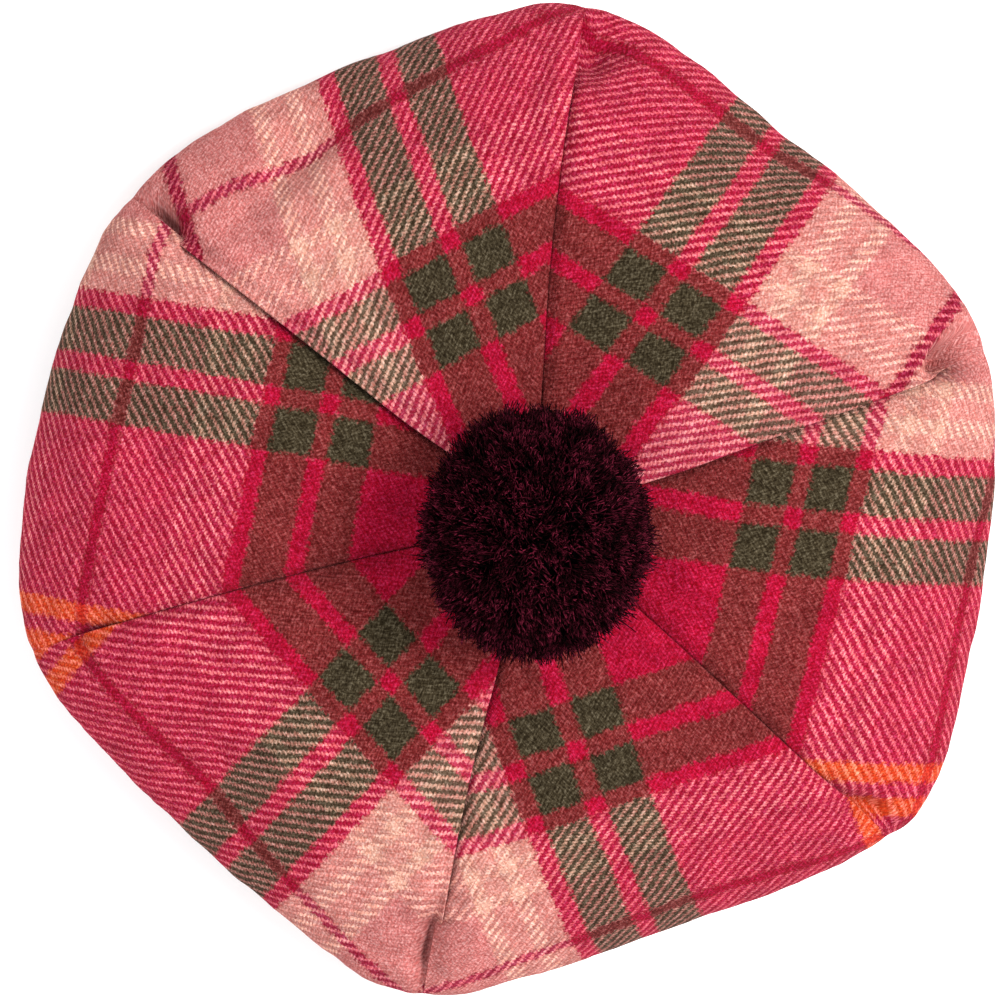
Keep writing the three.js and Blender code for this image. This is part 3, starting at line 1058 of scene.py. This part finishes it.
    def make(self, cloth_material: bpy.types.Material) -> bpy.types.Object:
        """Builds and dresses the panel.

        Args:
            cloth_material: The tartan cloth.

        Returns:
            The panel, declared to the frame.
        """
        outer, inner, cloth = self.points()
        rows, columns = outer.shape[:2]
        points = np.concatenate([outer.reshape(-1, 3), inner.reshape(-1, 3)])
        weave = np.tile(self.weave(cloth).reshape(-1, 3), (2, 1))
        row_way = np.full(len(points), float(self.wedge.pale_side))
        name = "tartan_wedge_" + self.wedge.name[-1]
        piece = make_piece(name, points, shell_faces(rows, columns), cloth_material,
                           {"weave": weave, "row_way": row_way})
        # The cut edges along both seams stay sharp.
        for cut_face in piece.data.polygons[-2 * (rows - 1):]:
            cut_face.use_smooth = False
        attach(piece, "root")
        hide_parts(self.wedge.name)
        return piece


# ---------------------------------------------------------------- headband
@dataclass
class Headband:
    """A strip of the tartan, folded along its lower edge and joined at the back."""

    cloth: float = 1.35
    fold_radius: float = 0.82
    turns: int = 360
    join_depth: float = 0.5
    join_width: float = 1.6
    unevenness: float = 0.12

    def profile(self, outside: float, height: float) -> tuple[np.ndarray, np.ndarray, np.ndarray]:
        """Line of the folded cloth from its upper outside edge, down, round the fold and up inside.

        Args:
            outside: Radius of the outer face, in mm.
            height: Height of the strip, in mm.

        Returns:
            Radius, height and length so far of each point.
        """
        front = outside - self.cloth / 2.0
        low = self.fold_radius + self.cloth / 2.0
        down = np.linspace(height, low, 15)
        bend = np.radians(np.linspace(0.0, -180.0, 11))[1:-1]
        centre = front - self.fold_radius
        radius = np.concatenate([np.full(15, front), centre + self.fold_radius * np.cos(bend),
                                 np.full(15, centre - self.fold_radius)])
        level = np.concatenate([down, low + self.fold_radius * np.sin(bend), down[::-1]])
        run = np.concatenate([[0.0], np.cumsum(np.hypot(np.diff(radius), np.diff(level)))])
        return radius, level, run

    def make(self, cloth_material: bpy.types.Material) -> bpy.types.Object:
        """Builds and dresses the headband.

        Args:
            cloth_material: The tartan cloth.

        Returns:
            The headband, declared to the frame.
        """
        _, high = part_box("headband")
        outside, height = high.x / MM, high.z / MM
        radius, level, run = self.profile(outside, height)
        slope_r, slope_z = np.gradient(radius), np.gradient(level)
        size = np.hypot(slope_r, slope_z)
        face_r, face_z = -slope_z / size, slope_r / size
        turn = np.linspace(0.0, 2.0 * math.pi, self.turns, endpoint=False) + math.radians(90.0)
        join = np.minimum(np.abs(turn - math.radians(90.0)), np.abs(turn - math.radians(450.0))) * outside
        uneven = self.unevenness * ripple(turn * outside, 0.0 * turn, 22.0, 71)
        sunk = self.join_depth * bell(join, self.join_width)
        ease = smoothstep(height - level, 0.0, 4.0)[:, None]
        layers = []
        for side in (1.0, -1.0):
            r = (radius + side * face_r * self.cloth / 2.0)[:, None] + np.zeros_like(turn)
            r = r - (side > 0.0) * np.maximum(face_r, 0.0)[:, None] * (sunk + np.abs(uneven)) * ease
            z = (level + side * face_z * self.cloth / 2.0)[:, None] + np.zeros_like(turn)
            layers.append(np.stack([r * np.cos(turn), r * np.sin(turn), z], axis=-1).reshape(-1, 3))
        points = np.concatenate(layers)
        along = np.broadcast_to((turn - turn[0]) * outside, (len(radius), self.turns))
        across = np.broadcast_to(run[:, None] - height / 2.0, along.shape)
        weave = np.stack([along, across, np.full_like(along, 300.0)], axis=-1).reshape(-1, 3)
        piece = make_piece("headband_strip", points, shell_faces(len(radius), self.turns, around=True),
                           cloth_material, {"weave": np.tile(weave, (2, 1)), "row_way": np.ones(len(points))})
        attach(piece, "root")
        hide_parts("headband")
        return piece


# ---------------------------------------------------------------- pompom
@dataclass
class Pompom:
    """A round pompom: a wound heart of yarn, and tufts of cut yarn that spring open into fibres.

    Real fibres are too fine to show, so these are as thick as a small twist of them.
    """

    crown: CrownShape
    tufts: int = 1300
    fibres: int = 15
    rings: int = 4
    fibre_radius: float = 0.2
    splay: float = 3.0
    curl: float = 2.2
    root_share: float = 0.62
    tip_share: float = 0.945
    tuft_spread: float = 0.035
    fibre_spread: float = 0.03
    shake: float = 0.07
    lean: float = 2.6
    rest_gap: float = 0.5
    heart_share: float = 0.74
    heart_lumps: float = 0.05
    layers: tuple[str, ...] = ("pompom_yarn_lower", "pompom_yarn_middle", "pompom_yarn_upper")
    centre: np.ndarray = field(init=False)
    half: np.ndarray = field(init=False)

    def __post_init__(self) -> None:
        """Takes the pompom's place and half size, in mm, from the frame."""
        low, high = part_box("pompom")
        self.half = np.array([high.x - low.x, high.y - low.y, high.z - low.z]) / MM / 2.0
        self.centre = np.array([high.x + low.x, high.y + low.y, high.z + low.z]) / MM / 2.0

    def keep_clear(self, points: np.ndarray) -> np.ndarray:
        """Lays whatever would reach into the crown on top of it.

        Args:
            points: Points of the pompom, which are moved in place.

        Returns:
            The same points.
        """
        floor = self.crown.height_at(points[..., 0], points[..., 1]) + self.rest_gap
        points[..., 2] = np.maximum(points[..., 2], floor)
        return points

    def heart(self, material: bpy.types.Material) -> bpy.types.Object:
        """Makes the wound heart under the pile, painted nearly black as painted shade.

        Args:
            material: The yarn.

        Returns:
            The heart, riding on the hat.
        """
        rows, columns = 40, 64
        polar = np.linspace(0.02, math.pi - 0.02, rows)[:, None]
        turn = np.linspace(0.0, 2.0 * math.pi, columns, endpoint=False)[None, :]
        way = np.stack(np.broadcast_arrays(np.sin(polar) * np.cos(turn), np.sin(polar) * np.sin(turn),
                                           np.cos(polar)), axis=-1)
        lumps = ripple(way[..., 0] * 30.0, way[..., 1] * 30.0 + way[..., 2] * 21.0, 9.0, 31)
        lumps = 1.0 + self.heart_lumps * lumps
        points = self.centre + way * self.half * self.heart_share * lumps[..., None]
        points = self.keep_clear(points.reshape(-1, 3))
        top, bottom = points[:columns].mean(axis=0), points[-columns:].mean(axis=0)
        here = np.arange(columns)
        beside = (here + 1) % columns
        row = np.arange(rows - 1)[:, None] * columns
        faces = np.stack([row + here, row + columns + here, row + columns + beside, row + beside], axis=-1)
        caps = [[int(b), rows * columns, int(a)] for a, b in zip(here[::-1], beside[::-1])]
        last = (rows - 1) * columns
        caps += [[int(last + a), rows * columns + 1, int(last + b)] for a, b in zip(here, beside)]
        everything = np.vstack([points, top, bottom])
        mesh_faces = faces.reshape(-1, 4).tolist() + caps
        # The heart takes the painted root shade and is darkened further, as painted shade inside the pile.
        values = {"reach": np.full(len(everything), 0.3), "dye": np.full(len(everything), 0.15)}
        piece = make_piece("pompom_heart", everything, np.array(mesh_faces, dtype=object), material, values)
        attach(piece, "root")
        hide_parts("pompom")
        log.info("pompom_heart: %d faces", len(mesh_faces))
        return piece

    def tuft_ways(self) -> np.ndarray:
        """Spreads the tufts evenly over the ball, and then shakes them.

        Returns:
            The direction of each tuft.
        """
        draw = np.random.default_rng(7)
        count = self.tufts
        number = np.arange(count) + 0.5
        polar = np.arccos(1.0 - 2.0 * number / count)
        turn = math.pi * (1.0 + math.sqrt(5.0)) * number
        way = np.stack([np.sin(polar) * np.cos(turn), np.sin(polar) * np.sin(turn), np.cos(polar)], axis=1)
        way += draw.normal(0.0, self.shake, way.shape)
        return way / np.linalg.norm(way, axis=1, keepdims=True)

    def fibre_lines(self, ways: np.ndarray, seed: int) -> tuple[np.ndarray, np.ndarray]:
        """Lines of the fibres of some tufts.

        Args:
            ways: Direction of each tuft.
            seed: Sets the draw of one layer apart.

        Returns:
            Points of each fibre from root to tip, and how light the dye took on each fibre.
        """
        draw = np.random.default_rng(seed)
        count = len(ways) * self.fibres
        way = np.repeat(ways, self.fibres, axis=0)
        side = np.cross(way, [0.31, 0.17, 0.93])
        side /= np.linalg.norm(side, axis=1, keepdims=True)
        other = np.cross(way, side)
        turn = draw.uniform(0.0, 2.0 * math.pi, count)
        off = np.sqrt(draw.uniform(0.0, 1.0, count)) * self.splay
        length = np.repeat(draw.normal(self.tip_share, self.tuft_spread, len(ways)), self.fibres)
        length = length * draw.normal(1.0, self.fibre_spread, count)
        lean = np.repeat(draw.normal(0.0, self.lean, (len(ways), 2)), self.fibres, axis=0)
        share = np.linspace(0.0, 1.0, self.rings)
        lines = np.zeros((count, self.rings, 3))
        phase = draw.uniform(0.0, 2.0 * math.pi, count)
        for ring, part in enumerate(share):
            out = (self.root_share + (1.0 - self.root_share) * part) * length
            spread = off * (0.25 + 0.75 * part ** 1.4)
            bend = self.curl * math.sin(math.pi * part * 0.9)
            a = spread * np.cos(turn) + bend * np.cos(phase) + lean[:, 0] * part ** 2
            b = spread * np.sin(turn) + bend * np.sin(phase) + lean[:, 1] * part ** 2
            place = self.centre + way * self.half * out[:, None]
            lines[:, ring] = place + side * a[:, None] + other * b[:, None]
        dye = np.repeat(draw.uniform(0.25, 0.75, len(ways)), self.fibres) + draw.uniform(-0.15, 0.45, count)
        return self.keep_clear(lines), np.clip(dye, 0.05, 1.4)

    def pile(self, name: str, ways: np.ndarray, seed: int, material: bpy.types.Material) -> bpy.types.Object:
        """Makes one layer of the pile as closed three-sided fibres.

        Args:
            name: The layer's name.
            ways: Directions of its tufts.
            seed: Sets its draw apart.
            material: The yarn.

        Returns:
            The layer, riding on the hat.
        """
        lines, dye = self.fibre_lines(ways, seed)
        count, rings = lines.shape[:2]
        run = np.gradient(lines, axis=1)
        run /= np.maximum(np.linalg.norm(run, axis=-1, keepdims=True), 1e-6)
        side = np.cross(run, [0.41, -0.23, 0.88])
        side /= np.maximum(np.linalg.norm(side, axis=-1, keepdims=True), 1e-6)
        other = np.cross(run, side)
        corner = np.arange(3) * 2.0 * math.pi / 3.0
        taper = np.linspace(1.1, 0.75, rings)[None, :, None, None] * self.fibre_radius
        around = side[:, :, None] * np.cos(corner)[:, None] + other[:, :, None] * np.sin(corner)[:, None]
        points = (lines[:, :, None] + around * taper).reshape(-1, 3)
        base = np.arange(count)[:, None, None] * rings * 3
        ring = np.arange(rings - 1)[None, :, None] * 3
        here = np.arange(3)[None, None, :]
        beside = (here + 1) % 3
        low, high = base + ring, base + ring + 3
        quads = np.stack(np.broadcast_arrays(low + here, low + beside, high + beside, high + here),
                         axis=-1).reshape(-1, 4)
        start = np.arange(count)[:, None] * rings * 3
        roots = (start + np.array([2, 1, 0])).tolist()
        tips = (start + (rings - 1) * 3 + np.array([0, 1, 2])).tolist()
        faces = np.array(quads.tolist() + roots + tips, dtype=object)
        reach = np.broadcast_to(np.linspace(0.0, 1.0, rings)[None, :, None], (count, rings, 3)).ravel()
        dyes = np.repeat(dye, rings * 3)
        piece = make_piece(name, points, faces, material, {"reach": reach, "dye": dyes})
        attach(piece, "root")
        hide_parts("pompom")
        log.info("%s: %d fibres", name, count)
        return piece

    def make(self, material: bpy.types.Material) -> None:
        """Builds the heart and every layer of the pile.

        Args:
            material: The yarn.
        """
        self.heart(material)
        ways = self.tuft_ways()
        ways = ways[np.argsort(ways[:, 2])]
        for number, (name, part) in enumerate(zip(self.layers, np.array_split(ways, len(self.layers)))):
            self.pile(name, part, 50 + number, material)


# ---------------------------------------------------------------- room
@dataclass(frozen=True)
class Lamp:
    """A soft lamp: where it hangs and what it aims at, in metres, its side, its power and its colour."""

    name: str
    place: tuple[float, float, float]
    aim: tuple[float, float, float]
    side: float
    power: float
    colour: tuple[float, float, float]


@dataclass(frozen=True)
class Studio:
    """White board, soft lamps and a camera that looks straight down."""

    eye_x: float = -0.0021
    eye_y: float = 0.0001
    view_width: float = 0.28
    lens: float = 135.0
    sensor: float = 36.0
    subject_height: float = 0.030
    floor_half: float = 2.5
    sky: float = 1.0
    lamps: tuple[Lamp, ...] = (
        Lamp("key_lamp", (1.0, 0.12, 1.35), (0.0, 0.0, 0.03), 0.7, 38.0, (1.0, 0.99, 0.975)),
        Lamp("fill_lamp", (-0.7, -0.5, 1.5), (0.0, 0.0, 0.03), 1.2, 13.0, (0.97, 0.985, 1.0)),
    )

    def make_floor(self) -> None:
        """Lays the board."""
        half = self.floor_half / MM
        corners = np.array([[-half, -half, 0.0], [half, -half, 0.0], [half, half, 0.0], [-half, half, 0.0]])
        board = make_piece("floor_board", corners, np.array([[0, 1, 2, 3]]), MattBoard().build())

    def make_lamps(self) -> None:
        """Hangs the lamps and lights the room evenly."""
        for lamp in self.lamps:
            light = bpy.data.lights.new(lamp.name, "AREA")
            light.shape = "SQUARE"
            light.size = lamp.side
            light.energy = lamp.power
            light.color = lamp.colour
            holder = bpy.data.objects.new(lamp.name, light)
            holder.location = lamp.place
            aim = np.array(lamp.aim) - np.array(lamp.place)
            tilt = math.atan2(math.hypot(aim[0], aim[1]), -aim[2])
            holder.rotation_euler = (tilt, 0.0, math.atan2(aim[1], aim[0]) - math.pi / 2.0)
            bpy.context.scene.collection.objects.link(holder)
        world = bpy.data.worlds.new("room")
        world.use_nodes = True
        background = world.node_tree.nodes["Background"]
        background.inputs["Color"].default_value = (1.0, 1.0, 1.0, 1.0)
        background.inputs["Strength"].default_value = self.sky
        bpy.context.scene.world = world

    def make_camera(self) -> None:
        """Sets the camera above the hat."""
        camera = bpy.data.cameras.new("camera")
        camera.lens = self.lens
        camera.sensor_width = self.sensor
        holder = bpy.data.objects.new("camera", camera)
        distance = self.view_width * self.lens / self.sensor
        holder.location = (self.eye_x, self.eye_y, self.subject_height + distance)
        bpy.context.scene.collection.objects.link(holder)
        bpy.context.scene.camera = holder

    def make(self) -> None:
        """Builds the whole room."""
        self.make_floor()
        self.make_lamps()
        self.make_camera()
        bpy.context.scene.view_settings.view_transform = "Standard"


def main() -> None:
    """Builds the room, the crown, the headband and the pompom, in that order."""
    logging.basicConfig(level=logging.INFO, format="%(message)s")
    Studio().make()
    tartan = BrushedTartan().build()
    shape = CrownShape()
    Headband().make(tartan)
    for number in range(len(WEDGES)):
        CrownPanel(number, shape).make(tartan)
    Pompom(shape).make(PompomYarn().build())


if __name__ == "__main__":
    main()
